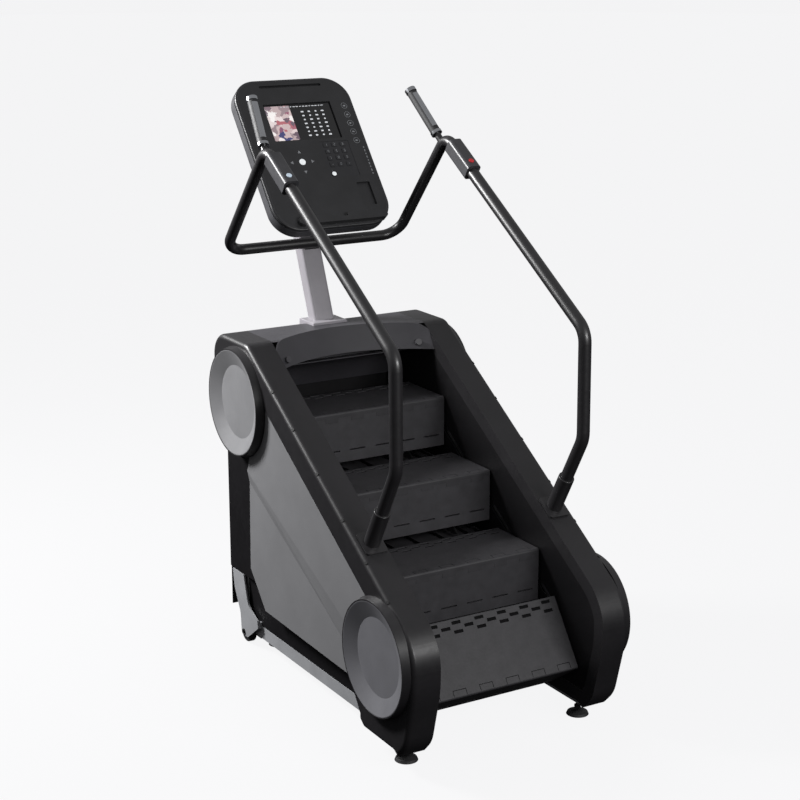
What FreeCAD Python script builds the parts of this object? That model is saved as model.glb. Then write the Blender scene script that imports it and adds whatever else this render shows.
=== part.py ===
import FreeCAD, Part
import math
import os

V = FreeCAD.Vector

# Stair climber (step mill).  Millimetres, +Z up.  X runs across the machine, with +X on the user's
# right.  Y runs from the user to the console.  While it is drawn, y = 0 is at the front feet and
# z = 0 is the floor.  At the end everything moves so that the origin is the bottom centre of the box.

# ---- driving dimensions -------------------------------------------------------------------------
INCLINE = 32.9               # slope of the stair, degrees
CHAIN_PITCH = 25.4           # step chain
LINKS_PER_STEP = 14
SPROCKET_TEETH = 20
STEP_COUNT = 7               # 98 links: two runs of 39 links and two half turns of 10
RUN_LINKS = 39

STEP_HALF_WIDTH = 302.0
TREAD_DEPTH = 250.0
RISER_HEIGHT = 178.0
TREAD_THICK = 18.0
RISER_THICK = 13.0

LOWER_SHAFT = (146.0, 273.0)           # y, z
NOSE_FROM_AXLE = (-136.4, 29.5)        # y, z from a step's axle to its nose
SHAFT_R = 15.0

SHELL_IN_X = 304.0           # inner flange of a side cover
BAND_OUT_X = 386.0           # where the flat top band ends
SHELL_OUT_X = 402.0          # flat side of a cover
BAND_N = 457.0               # height of the top band above the slope line through the origin
DECK_Z = 1152.0
SKIN = 3.5

RIM_X = 428.0                # outermost edge of the round disc covers
BOSS_R = 195.0
RIM_R = 187.0
DISH_R = 128.0
DISH_X = 405.0
UPPER_DISC = (1005.0, 938.0)
LOWER_DISC = (46.0, 342.0)

RAIL_X = 347.0
RAIL_R = 21.0
LOOP_R = 19.0
RAIL_WALL = 2.5

FRAME_PLATE_X = 327.0        # inner face of the frame's side plates
FRAME_PLATE_T = 5.0
BASE_TUBE = (309.5, 333.5)   # x range of the floor tubes
BASE_TUBE_Z = (50.0, 96.0)
BRACKET_X = 346.0            # inner face of the rear corner brackets
WHEEL_SHELF_Z = (90.0, 112.0)
TOP_CROSS_TUBE = (1100.0, 1145.0, 1044.0, 1089.0)  # y and z range
LOOP_TUBES = (300.0, 690.0)  # how far up the run the two tubes inside the chain loop sit
LOOP_TUBE_R = 19.0
TUBE_WALL = 3.0
VENT_R = 5.0                 # hole that lets air out of a closed tube while it is welded

MAST_LEAN = 21.5             # degrees from upright
MAST_FOOT = (1122.7, 1097.0)  # y, z of the middle of the tube's lower end
MAST_LENGTH = 693.0
CONSOLE_LEAN = 38.4
CONSOLE_HALF_W = 229.0
CONSOLE_HEIGHT = 611.0
CONSOLE_CORNER_R = 95.0
CONSOLE_CENTRE = (1195.8, 1750.4)      # y, z of the middle of the face

FOOT_X = 330.0
REAR_FOOT = (250.0, 1036.0)  # x, y
WHEEL_R = 40.0

# ---- derived dimensions -------------------------------------------------------------------------
SIN = math.sin(math.radians(INCLINE))
COS = math.cos(math.radians(INCLINE))
CHAIN_R = CHAIN_PITCH / 2 / math.sin(math.pi / SPROCKET_TEETH)
RUN_LENGTH = RUN_LINKS * CHAIN_PITCH
STEP_PITCH = LINKS_PER_STEP * CHAIN_PITCH
UPPER_SHAFT = (LOWER_SHAFT[0] + RUN_LENGTH * COS, LOWER_SHAFT[1] + RUN_LENGTH * SIN)
HALF_TURN = SPROCKET_TEETH / 2 * CHAIN_PITCH

# distance of each step's axle from the foot of the rising run, up the run
TOP_STEP_TRAVEL = {"step_1": 989.0, "step_2": 633.4, "step_3": 277.8}
TURN_STEP_TRAVEL = {"step_4": 77.8}
RETURN_STEP_TRAVEL = {"step_5": 178.4, "step_6": 534.0, "step_7": 889.6}

ALTERNATOR = (862.0, 318.0)
PULLEY_X = (355.0, 366.0)
DRIVE_PULLEY_R = 100.0
SMALL_PULLEY_R = 20.0

SIDES = {"left": -1, "right": 1}

shapes = {}


# ---- geometry helpers ---------------------------------------------------------------------------
def slope_point(along, above):
    """(y, z) of a point given along the slope and above it, from the drawing origin."""
    return (along * COS - above * SIN, along * SIN + above * COS)


def box(x0, x1, y0, y1, z0, z1):
    return Part.makeBox(x1 - x0, y1 - y0, z1 - z0, V(x0, y0, z0))


def disc(x0, x1, centre, radius):
    """A round bar along X between two x values."""
    return Part.makeCylinder(radius, x1 - x0, V(x0, centre[0], centre[1]), V(1, 0, 0))


def ring(x0, x1, centre, outer, inner):
    return disc(x0, x1, centre, outer).cut(disc(x0, x1, centre, inner))


def rounded_wire(corners, x):
    """A closed wire in the plane at x through (y, z, radius) corners, each rounded."""
    starts, ends, middles = [], [], []
    count = len(corners)
    for i in range(count):
        here = V(x, corners[i][0], corners[i][1])
        before = V(x, corners[i - 1][0], corners[i - 1][1])
        after = V(x, corners[(i + 1) % count][0], corners[(i + 1) % count][1])
        radius = corners[i][2] if len(corners[i]) > 2 else 0
        to_before = (before - here).normalize()
        to_after = (after - here).normalize()
        half = to_before.getAngle(to_after) / 2
        if radius <= 0:
            starts.append(here)
            ends.append(here)
            middles.append(None)
            continue
        reach = radius / math.tan(half)
        bisector = (to_before + to_after).normalize()
        centre = here + bisector * (radius / math.sin(half))
        starts.append(here + to_before * reach)
        ends.append(here + to_after * reach)
        middles.append(centre - bisector * radius)
    edges = []
    for i in range(count):
        if middles[i] is not None:
            edges.append(Part.Arc(starts[i], middles[i], ends[i]).toShape())
        following = starts[(i + 1) % count]
        if ends[i].distanceToPoint(following) > 1e-6:
            edges.append(Part.makeLine(ends[i], following))
    return Part.Wire(edges)


def prism(corners, x0, x1):
    face = Part.Face(rounded_wire(corners, x0))
    return face.extrude(V(x1 - x0, 0, 0))


def inset(corners, depth):
    """The same outline with every edge moved inwards.  The corners run clockwise seen from +X."""
    moved = []
    count = len(corners)
    lines = []
    for i in range(count):
        a = corners[i]
        b = corners[(i + 1) % count]
        length = math.hypot(b[0] - a[0], b[1] - a[1])
        direction = ((b[0] - a[0]) / length, (b[1] - a[1]) / length)
        inward = (direction[1], -direction[0])
        lines.append(((a[0] + inward[0] * depth, a[1] + inward[1] * depth), direction))
    for i in range(count):
        (p, d), (q, e) = lines[i - 1], lines[i]
        cross = d[0] * e[1] - d[1] * e[0]
        t = ((q[0] - p[0]) * e[1] - (q[1] - p[1]) * e[0]) / cross
        radius = corners[i][2] if len(corners[i]) > 2 else 0
        if radius > 0:
            radius = radius - depth if cross < 0 else radius + depth
        moved.append((p[0] + d[0] * t, p[1] + d[1] * t, max(radius, 0)))
    return moved


def mirrored(shape):
    return shape.mirror(V(0, 0, 0), V(1, 0, 0))


def fuse(parts):
    whole = parts[0]
    if len(parts) > 1:
        whole = whole.multiFuse(parts[1:])
    return whole.removeSplitter()


def group(parts):
    return Part.makeCompound(parts)


def bent_tube(points, radii, outer, wall):
    """A round tube through 3-D points, with an arc of the given radius at each inner point."""
    pieces = []
    start = points[0]

    def section(at, direction):
        face = Part.Face(Part.Wire(Part.makeCircle(outer, at, direction)))
        if wall:
            face = face.cut(Part.Face(Part.Wire(Part.makeCircle(outer - wall, at, direction))))
        return face

    for i in range(1, len(points)):
        direction = (points[i] - points[i - 1]).normalize()
        if i == len(points) - 1:
            pieces.append(section(start, direction).extrude(points[i] - start))
            break
        after = (points[i + 1] - points[i]).normalize()
        turn = direction.getAngle(after)
        reach = radii[i - 1] * math.tan(turn / 2)
        bend_start = points[i] - direction * reach
        pieces.append(section(start, direction).extrude(bend_start - start))
        axis = direction.cross(after).normalize()
        centre = bend_start + axis.cross(direction).normalize() * radii[i - 1]
        bend = section(bend_start, direction).revolve(centre, axis, math.degrees(turn))
        pieces.append(bend)
        start = points[i] + after * reach
    return fuse(pieces)


def rod(a, b, radius):
    return Part.makeCylinder(radius, a.distanceToPoint(b), a, b - a)


# ---- steps --------------------------------------------------------------------------------------
TOOTH = 50.0                 # width of one finger of the tread-to-riser joint
TOOTH_PITCH = 100.0
TOOTH_DROP = 15.0
FIT = 0.4
HOLE = (34.0, 11.0)          # grip pockets near the rear edge of a tread
HOLE_PITCH = 87.0
HOLE_ROWS = (206.0, 221.0, 236.0)      # how far behind the nose the rows of pockets lie
MARK_REACH = (5.0, 27.0)     # how far behind the nose the groove over each finger runs
MARK_GROOVE = (2.0, 1.2)     # its width and depth
AXLE_R = 7.0
AXLE_END_X = 310.0
SLOT_HALF = 11.0             # half width of the slot that the step axles pass through


def tooth_boxes(grow):
    boxes = []
    for i in range(-2, 4):
        x = (i - 0.5) * TOOTH_PITCH
        half = TOOTH / 2 + grow
        low = -TREAD_THICK - TOOTH_DROP - grow
        boxes.append(box(x - half, x + half, -1, RISER_THICK + 1, low, -TREAD_THICK + 1))
    return boxes


def make_tread():
    """The tread, with its nose edge at the local origin."""
    outline = [(0, -TREAD_THICK), (0, 0, 7), (TREAD_DEPTH, 0, 3), (TREAD_DEPTH, -TREAD_THICK)]
    tread = prism(outline, -STEP_HALF_WIDTH, STEP_HALF_WIDTH)
    pocket = box(-STEP_HALF_WIDTH + 8, STEP_HALF_WIDTH - 8, RISER_THICK + 3, TREAD_DEPTH - 8,
                 -TREAD_THICK - 1, -7)
    ribs = [box(x - 2, x + 2, RISER_THICK, TREAD_DEPTH - 5, -TREAD_THICK, -5)
            for x in range(-250, 251, 100)]
    tread = tread.cut(pocket).multiFuse(ribs)
    front = box(-STEP_HALF_WIDTH, STEP_HALF_WIDTH, 0, RISER_THICK, -80, 0)
    teeth = [tooth.common(front) for tooth in tooth_boxes(0)]
    tread = tread.multiFuse(teeth)
    pockets = [finger_groove((i - 0.5) * TOOTH_PITCH) for i in range(-2, 4)]
    for row, y in enumerate(HOLE_ROWS):
        for i in range(-4, 4):
            x = (i + (0.5 if row == 1 else 0)) * HOLE_PITCH
            if abs(x) < STEP_HALF_WIDTH - 20:
                pockets.append(box(x - HOLE[0] / 2, x + HOLE[0] / 2, y - HOLE[1] / 2, y + HOLE[1] / 2, -3, 1))
    return tread.cut(group(pockets)).removeSplitter()


def finger_groove(x):
    """A shallow groove round three sides of a finger's place on the tread, open at the nose."""
    half = TOOTH / 2
    width, depth = MARK_GROOVE
    y0, y1 = MARK_REACH
    left = box(x - half, x - half + width, y0, y1, -depth, 1)
    right = box(x + half - width, x + half, y0, y1, -depth, 1)
    back = box(x - half, x + half, y1 - width, y1, -depth, 1)
    return fuse([left, right, back])


def make_riser():
    """The riser under the nose, in the tread's local frame."""
    riser = box(-STEP_HALF_WIDTH, STEP_HALF_WIDTH, 0.5, RISER_THICK, -RISER_HEIGHT, -TREAD_THICK - FIT)
    riser = riser.cut(group(tooth_boxes(FIT)))
    slots = []
    for i in range(-2, 4):
        x = (i - 0.5) * TOOTH_PITCH
        slots.append(box(x - 30, x + 30, -1, RISER_THICK + 1, -RISER_HEIGHT + 38, -RISER_HEIGHT + 43))
    return riser.cut(group(slots)).removeSplitter()


def make_axle():
    """The cross axle with its two brackets and end lugs, in the tread's local frame."""
    at = (-NOSE_FROM_AXLE[0], -NOSE_FROM_AXLE[1])
    parts = [disc(-AXLE_END_X, AXLE_END_X, at, AXLE_R)]
    bracket = [(RISER_THICK + 0.5, -TREAD_THICK - 0.5), (236, -TREAD_THICK - 0.5), (236, -22.5),
               (RISER_THICK + 4, -164), (RISER_THICK + 0.5, -164)]
    window = [(RISER_THICK + 20, -48, 8), (86, -48, 8), (RISER_THICK + 20, -108, 8)]
    for side in (-1, 1):
        x = side * 200
        parts.append(prism(bracket, x - 3, x + 3).cut(prism(window, x - 4, x + 4)))
        lug_x = sorted((side * AXLE_END_X, side * (AXLE_END_X - 5)))
        parts.append(disc(lug_x[0], lug_x[1], at, 10))
    return fuse(parts)


def step_placement(run, travel):
    """How a step's shape moves from the local frame to its place in the loop."""
    spin = {"top": 0.0, "turn": travel / CHAIN_R, "return": math.pi}[run]
    axle = FreeCAD.Rotation(V(1, 0, 0), math.degrees(spin)).multVec(V(0, -SIN, COS)) * CHAIN_R
    if run != "turn":
        axle = axle + V(0, COS, SIN) * travel
    axle = axle + V(0, LOWER_SHAFT[0], LOWER_SHAFT[1])
    rotation = FreeCAD.Rotation(V(1, 0, 0), math.degrees(spin))
    offset = rotation.multVec(V(0, NOSE_FROM_AXLE[0], NOSE_FROM_AXLE[1]))
    return FreeCAD.Placement(axle + offset, rotation)


def build_steps():
    pieces = {"tread": make_tread(), "riser": make_riser(), "axle": make_axle()}
    runs = (("top", TOP_STEP_TRAVEL), ("turn", TURN_STEP_TRAVEL), ("return", RETURN_STEP_TRAVEL))
    for run, travels in runs:
        for step, travel in travels.items():
            place = step_placement(run, travel)
            for kind, piece in pieces.items():
                shapes[step + "_" + kind] = piece.transformed(place.toMatrix())


# ---- chain drive --------------------------------------------------------------------------------
CHAIN_X = (311.5, 322.0)
SPROCKET_X = (313.5, 320.0)


def loop_outline(radius):
    """A stadium around both shafts."""
    edges = []
    low = V(0, LOWER_SHAFT[0], LOWER_SHAFT[1])
    high = V(0, UPPER_SHAFT[0], UPPER_SHAFT[1])
    up = V(0, -SIN, COS) * radius
    out = V(0, COS, SIN) * radius
    edges.append(Part.makeLine(low + up, high + up))
    edges.append(Part.Arc(high + up, high + out, high - up).toShape())
    edges.append(Part.makeLine(high - up, low - up))
    edges.append(Part.Arc(low - up, low - out, low + up).toShape())
    return Part.Wire(edges)


def stadium(radius, x0, x1):
    face = Part.Face(loop_outline(radius))
    face.translate(V(x0, 0, 0))
    return face.extrude(V(x1 - x0, 0, 0))


def sprocket(centre, x0, x1, phase):
    """A toothed disc: gaps for the chain rollers are cut out of a blank."""
    blank = disc(x0, x1, centre, CHAIN_R + 7)
    gaps = []
    for i in range(SPROCKET_TEETH):
        angle = 2 * math.pi * i / SPROCKET_TEETH + phase
        gap = (centre[0] + (CHAIN_R + 1) * math.cos(angle), centre[1] + (CHAIN_R + 1) * math.sin(angle))
        gaps.append(disc(x0 - 1, x1 + 1, gap, 9.5))
    holes = []
    for i in range(5):
        angle = 2 * math.pi * i / 5
        hole = (centre[0] + 46 * math.cos(angle), centre[1] + 46 * math.sin(angle))
        holes.append(disc(x0 - 1, x1 + 1, hole, 13))
    return blank.cut(group(gaps + holes))


def build_drive():
    reach = FRAME_PLATE_X + FRAME_PLATE_T + 21
    for name, centre in (("upper_shaft", UPPER_SHAFT), ("lower_shaft", LOWER_SHAFT)):
        right_end = PULLEY_X[1] + 4 if name == "upper_shaft" else reach
        parts = [disc(-reach, right_end, centre, SHAFT_R)]
        for side in (-1, 1):
            x0, x1 = sorted((side * SPROCKET_X[0], side * SPROCKET_X[1]))
            parts.append(sprocket(centre, x0, x1, math.radians(INCLINE)))
            hub = sorted((side * (SPROCKET_X[0] - 1), side * (SPROCKET_X[1] + 4)))
            parts.append(disc(hub[0], hub[1], centre, 28))
        if name == "upper_shaft":
            parts.append(drive_pulley())
        shapes[name] = fuse(parts)

    # each chain: an inner and an outer plate line with rollers between the sprocket teeth
    chains = []
    for side in (-1, 1):
        for x0, x1 in ((CHAIN_X[0], CHAIN_X[0] + 1.6), (CHAIN_X[1] - 1.6, CHAIN_X[1])):
            a, b = sorted((side * x0, side * x1))
            chains.append(stadium(CHAIN_R + 8, a, b).cut(stadium(CHAIN_R - 8, a - 1, b + 1)))
    shapes["step_chains"] = group(chains)

    bearings = []
    for side in (-1, 1):
        for centre in (UPPER_SHAFT, LOWER_SHAFT):
            x0 = FRAME_PLATE_X + FRAME_PLATE_T
            a, b = sorted((side * x0, side * (x0 + 18)))
            flange = sorted((side * x0, side * (x0 + 6)))
            plate = box(flange[0], flange[1], centre[0] - 42, centre[0] + 42, centre[1] - 42, centre[1] + 42)
            housing = disc(a, b, centre, 32).fuse(plate)
            bearings.append(housing.cut(disc(a - 1, b + 1, centre, SHAFT_R + 0.06)).removeSplitter())
    shapes["shaft_bearings"] = group(bearings)

    x0, x1 = PULLEY_X
    small = disc(x0, x1, ALTERNATOR, SMALL_PULLEY_R)
    stub = disc(280, x1 + 3, ALTERNATOR, 8)
    shapes["alternator_pulley"] = small.fuse(stub).removeSplitter()

    # the belt wraps both pulleys with a small running gap
    shapes["drive_belt"] = belt_loop(4.0).cut(belt_loop(0.5)).common(
        disc(x0 + 0.5, x1 - 0.5, UPPER_SHAFT, 900))


def drive_pulley():
    """The pulley keyed to the right end of the drive shaft."""
    x0, x1 = PULLEY_X
    pulley = disc(x0, x1, UPPER_SHAFT, DRIVE_PULLEY_R).cut(ring(x0 - 1, x0 + 4, UPPER_SHAFT, 86, 34))
    pulley = pulley.cut(ring(x1 - 4, x1 + 1, UPPER_SHAFT, 86, 34))
    for i in range(6):
        angle = math.radians(60 * i)
        hole = (UPPER_SHAFT[0] + 60 * math.cos(angle), UPPER_SHAFT[1] + 60 * math.sin(angle))
        pulley = pulley.cut(disc(x0 - 1, x1 + 1, hole, 15))
    return pulley


def belt_loop(grow):
    """The solid inside a belt line that is grow outside both pulleys."""
    x0, x1 = PULLEY_X
    big, small = DRIVE_PULLEY_R + grow, SMALL_PULLEY_R + grow
    dy, dz = ALTERNATOR[0] - UPPER_SHAFT[0], ALTERNATOR[1] - UPPER_SHAFT[1]
    distance = math.hypot(dy, dz)
    heading = math.atan2(dz, dy)
    half = math.acos((big - small) / distance)
    corners = []
    for sign in (1, -1):
        angle = heading + sign * half
        a = (UPPER_SHAFT[0] + big * math.cos(angle), UPPER_SHAFT[1] + big * math.sin(angle))
        b = (ALTERNATOR[0] + small * math.cos(angle), ALTERNATOR[1] + small * math.sin(angle))
        corners += [a, b] if sign == 1 else [b, a]
    body = prism(corners, x0, x1)
    return fuse([body, disc(x0, x1, UPPER_SHAFT, big), disc(x0, x1, ALTERNATOR, small)])


def build_power_unit():
    y, z = ALTERNATOR
    body = disc(190, 300, ALTERNATOR, 78)
    body = body.fuse(disc(182, 190, ALTERNATOR, 60)).fuse(disc(300, 304, ALTERNATOR, 30))
    fins = [disc(200 + 14 * i, 206 + 14 * i, ALTERNATOR, 84) for i in range(7)]
    foot = box(195, 295, y - 60, y + 60, BASE_TUBE_Z[1], z - 60)
    body = fuse([body, foot] + fins)
    shapes["alternator"] = body.cut(disc(279, 310, ALTERNATOR, 8.06))

    base = BASE_TUBE_Z[1]
    case = prism([(830, base, 6), (830, base + 120, 12), (985, base + 120, 12), (985, base, 6)], -250, -70)
    vents = [box(-251, -245, 850 + 14 * i, 856 + 14 * i, base + 25, base + 100) for i in range(9)]
    shapes["control_box"] = case.cut(group(vents))


# ---- welded frame -------------------------------------------------------------------------------
def build_frame():
    z0, z1 = BASE_TUBE_Z
    low = LOWER_SHAFT
    high = UPPER_SHAFT
    x0 = FRAME_PLATE_X
    x1 = FRAME_PLATE_X + FRAME_PLATE_T
    cross_y0, cross_y1, cross_z0, cross_z1 = TOP_CROSS_TUBE
    chord_low, chord_high = BAND_N - 32, BAND_N - 7
    plate_outline = [(60, z1 - 10), (70, 330, 60), (-20, 400, 60), slope_point(330, chord_low + 6),
                     slope_point(1405, chord_low + 6), (cross_y1, cross_z1), (cross_y1, z1 - 10)]
    windows = [
        [(130, 150, 15), (300, 190, 15), (520, 330, 15), (520, 150, 15)],
        [(570, 150, 15), (570, 362, 15), (800, 510, 15), (1060, 640, 15), (1060, 150, 15)],
        [(150, 400, 15), (70, 455, 15), (330, 620, 15), (420, 560, 15)],
        [(470, 600, 15), (380, 655, 15), (700, 862, 15), (790, 806, 15)],
        [(840, 850, 15), (755, 900, 15), (930, 1010, 15), (1060, 1010, 15), (1060, 950, 15)],
    ]
    holes = [prism(window, x0 - 1, x1 + 1) for window in windows]
    holes += [disc(x0 - 1, x1 + 1, centre, SHAFT_R + 5) for centre in (low, high)]
    plate = prism(plate_outline, x0, x1).cut(group(holes))
    wall = TUBE_WALL
    chord = prism([slope_point(330, chord_low), slope_point(330, chord_high),
                   slope_point(1385, chord_high), slope_point(1385, chord_low)], x0 - 12, x1 + 26)
    bore = prism([slope_point(329, chord_low + wall), slope_point(329, chord_high - wall),
                  slope_point(1386, chord_high - wall), slope_point(1386, chord_low + wall)],
                 x0 - 12 + wall, x1 + 26 - wall)
    chord = chord.cut(bore)
    floor_line = [(22, z0, 14), (22, z1, 14), (1060, z1, 14), (1060, z0, 14)]
    tube = prism(floor_line, *BASE_TUBE)
    tube = tube.cut(prism(inset(floor_line, wall), BASE_TUBE[0] + wall, BASE_TUBE[1] - wall))
    shelf = box(BASE_TUBE[0], BRACKET_X, 1000, cross_y1, *WHEEL_SHELF_Z)
    cheek = box(BASE_TUBE[0], BASE_TUBE[0] + 6, 1050, cross_y1, 28, WHEEL_SHELF_Z[1])
    upright = square_tube(*BASE_TUBE, cross_y0, cross_y1, WHEEL_SHELF_Z[1] - 2, cross_z1)
    toe = box(BASE_TUBE[0], BRACKET_X, -34, 60, z0, z0 + 24)
    strut = [(1108, 262, 6), (1196, 262, 6), (1184, 190, 60), (1140, 110, 50), (1132, 28, 12),
             (1085, 28, 12), (1000, 90, 12), (1000, 118, 12), (1075, 150, 60)]
    bracket = prism(strut, BRACKET_X, BRACKET_X + 6)
    cap = box(BASE_TUBE[1] - 4, BRACKET_X + 6, 1110, 1194, 256, 262)
    side = fuse([plate, chord, tube, shelf, cheek, upright, toe, bracket, cap])
    parts = [side, mirrored(side)]

    span = FRAME_PLATE_X + 1
    reach = BASE_TUBE[0] + 1
    for travel in LOOP_TUBES:
        at = (low[0] + travel * COS, low[1] + travel * SIN)
        parts.append(ring(-span, span, at, LOOP_TUBE_R, LOOP_TUBE_R - 3))
    for y0, y1 in ((600, 640), (1016, 1056)):
        parts.append(square_tube(-reach, reach, y0, y1, z0, z1))
    parts.append(square_tube(-reach, reach, *TOP_CROSS_TUBE))
    parts.append(box(150, reach, 630, 1025, z1 - 6, z1))
    parts.append(box(-reach, -60, 630, 1025, z1 - 6, z1))
    whole = fuse(parts)
    cross_y = (cross_y0 + cross_y1) / 2
    for x, y, z in ((0, 620, z0), (0, 1036, z0), (0, cross_y, cross_z0),
                    (-sum(BASE_TUBE) / 2, 500, z0), (sum(BASE_TUBE) / 2, 500, z0)):
        whole = whole.cut(Part.makeCylinder(VENT_R, 2 * wall, V(x, y, z - wall / 2)))
    for side in (-1, 1):
        edge = side * BASE_TUBE[0]
        whole = whole.cut(disc(edge - wall - 1, edge + wall + 1, (cross_y, 300), VENT_R))
        whole = whole.cut(disc(*sorted((side * 300, side * 360)), wheel_centre(), 5.1))
        whole = whole.cut(Part.makeCylinder(6.1, 40, V(side * FOOT_X, 0, 45)))
        whole = whole.cut(Part.makeCylinder(6.1, 70, V(side * REAR_FOOT[0], REAR_FOOT[1], 40)))
    shapes["main_frame"] = whole


def square_tube(x0, x1, y0, y1, z0, z1):
    """A tube with flat sides and closed ends, given by its outside."""
    wall = TUBE_WALL
    return box(x0, x1, y0, y1, z0, z1).cut(box(x0 + wall, x1 - wall, y0 + wall, y1 - wall,
                                               z0 + wall, z1 - wall))


def wheel_centre():
    return (1112.0, WHEEL_R + 3)


def build_feet_and_wheels():
    feet = []
    for x, y, top in ((FOOT_X, 0, 76), (REAR_FOOT[0], REAR_FOOT[1], 100)):
        for side in (-1, 1):
            pad = Part.makeCone(37.5, 34, 8, V(side * x, y, 0))
            dome = Part.makeCone(34, 12, 9, V(side * x, y, 8))
            stem = Part.makeCylinder(6, top - 8, V(side * x, y, 8))
            nut = Part.makeCylinder(11, 8, V(side * x, y, 24))
            feet.append(fuse([pad, dome, stem, nut]))
    shapes["levelling_feet"] = group(feet)
    centre = wheel_centre()
    for name, side in SIDES.items():
        x0, x1 = sorted((side * 320, side * 344))
        tyre = disc(x0, x1, centre, WHEEL_R)
        tyre = tyre.makeFillet(4, [e for e in tyre.Edges if e.Length > 200])
        shapes[name + "_wheel"] = tyre.cut(disc(x0 - 1, x1 + 1, centre, 5.15))


# ---- covers -------------------------------------------------------------------------------------
def cover_outline():
    """The side cover's outline, clockwise seen from +X, from the front toe over the top."""
    return [(-62, 48, 10), (-112, 100, 110), (-160, 285, 350), (-160, 395, 140), (-110, 473, 190),
            slope_point(*deck_corner()) + (60,), (1206, DECK_Z, 85), (1206, 850, 150), (1108, 733, 40),
            (985, 733, 20), (150, 64, 25), (-38, 62, 20)]


SCREW_ALONG = (290.0, 448.0, 624.0, 822.0, 1019.0, 1192.0)   # places of the cover screws up the slope


def deck_corner():
    """Where the sloping band meets the level deck, along and above the slope."""
    along = (DECK_Z - BAND_N * COS) / SIN
    return along, BAND_N


def panel_window():
    """The opening in a cover's flat side that the side panel fills."""
    top = BAND_N - 92
    return [(165, -20), (165, 108), (232, 205), (232, 340), (60, 340), slope_point(290, top),
            slope_point(1270, top), (1005, 938), (1005, 722), (1300, 722), (1300, -20)]


def build_covers():
    outline = cover_outline()
    flat = SHELL_OUT_X - 4
    window = panel_window()
    outer = prism(outline, SHELL_IN_X, SHELL_OUT_X)
    rim = [e for e in outer.Edges if abs(e.BoundBox.XMin - SHELL_OUT_X) < 1e-6
           and abs(e.BoundBox.XMax - SHELL_OUT_X) < 1e-6]
    outer = outer.makeFillet(SHELL_OUT_X - BAND_OUT_X, rim)
    hollow = prism(inset(outline, SKIN), SHELL_IN_X + 3, BAND_OUT_X)
    hollow = hollow.fuse(prism(inset(outline, 12), BAND_OUT_X - 1, flat))
    mouth = prism(inset(outline, 48), SHELL_IN_X - 1, SHELL_IN_X + 4)
    lower = prism(window, SHELL_IN_X - 1, flat)
    guard = [disc(flat - 1, SHELL_OUT_X + 1, centre, BOSS_R) for centre in (UPPER_DISC, LOWER_DISC)]
    side_cut = prism(window, flat - 1, SHELL_OUT_X + 1).cut(group(guard))
    shell = outer.cut(hollow).cut(mouth).cut(lower).cut(side_cut)
    bosses = []
    for centre in (UPPER_DISC, LOWER_DISC):
        axis_at = V(flat, centre[0], centre[1])
        wall = Part.makeCone(BOSS_R, RIM_R, RIM_X - flat, axis_at, V(1, 0, 0))
        bosses.append(wall)
        shell = shell.cut(disc(flat - 1, SHELL_OUT_X + 1, centre, RIM_R - 5))
    shell = shell.multiFuse(bosses)
    for centre in (UPPER_DISC, LOWER_DISC):
        shell = shell.cut(disc(flat - 1, RIM_X + 1, centre, RIM_R - 4))
    toe_gap = box(SHELL_IN_X + 3.5, BRACKET_X + 1, -36, 168, 40, BASE_TUBE_Z[1] + 2)
    post_gap = box(SHELL_IN_X + 3, PULLEY_X[1] + 6, 975, 1202.4, 700, 895)
    screw_holes = cover_screws(1, 5.6, 10, 2)
    axle_path = stadium(CHAIN_R + SLOT_HALF + 2, SHELL_IN_X - 1, AXLE_END_X + 2)
    shell = shell.cut(group([toe_gap, post_gap] + screw_holes)).cut(axle_path).removeSplitter()
    shapes["right_shell"] = shell
    shapes["left_shell"] = mirrored(shell)

    # dished disc covers: a flat middle, a cone out to the rim and a short skirt, 3 mm thick
    rim = RIM_R - 4.3
    edge_x = RIM_X - 0.5
    profile = [(0, DISH_X), (DISH_R, DISH_X), (rim - 2.2, edge_x), (rim, edge_x), (rim, DISH_X + 7),
               (rim - 3, DISH_X + 7), (rim - 3, DISH_X + 19), (DISH_R + 0.6, DISH_X - 3), (0, DISH_X - 3)]
    for name, centre in (("upper_disc_covers", UPPER_DISC), ("lower_disc_covers", LOWER_DISC)):
        corners = [V(x, centre[0], centre[1] + r) for r, x in profile]
        face = Part.Face(Part.makePolygon(corners + [corners[0]]))
        cover = face.revolve(V(0, centre[0], centre[1]), V(1, 0, 0), 360)
        shapes[name] = group([cover, mirrored(cover)])

    # side panels: an upper flat band, a sloping ledge and a lower flat, 3 mm thick
    build_side_panels()
    build_inner_walls()


PANEL_X = 397.0              # outer face of the panel's upper band
LOWER_PANEL_X = 385.0        # outer face of its lower part


def build_side_panels():
    top = BAND_N - 84
    upper = [slope_point(300, top), slope_point(1262, top), (960, 700), (200, 350), (150, 330)]
    ledge = [(960, 700), (968, 655), (200, 252), (200, 350)]
    lower = [(968, 655), (976, 336), (866, 212), (246, 198), (200, 160), (200, 252)]
    base = 350.0
    solid_upper = prism([(y, z) for y, z in upper], base, PANEL_X)
    solid_lower = prism([(y, z) for y, z in lower], base, LOWER_PANEL_X)
    wedge = polyhedron([(PANEL_X, *ledge[0]), (LOWER_PANEL_X, *ledge[1]), (LOWER_PANEL_X, *ledge[2]),
                        (PANEL_X, *ledge[3])], base)
    whole = fuse([solid_upper, solid_lower, wedge])
    inner = whole.copy()
    inner.translate(V(-3, 0, 0))
    panel = whole.cut(inner)
    panel = panel.cut(box(base - 5, base + 20, -400, 1400, 0, 1400))
    clear = [disc(base, SHELL_OUT_X, centre, BOSS_R - 6) for centre in (UPPER_DISC, LOWER_DISC)]
    panel = panel.cut(group(clear)).removeSplitter()
    shapes["right_side_panel"] = panel
    shapes["left_side_panel"] = mirrored(panel)


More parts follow.
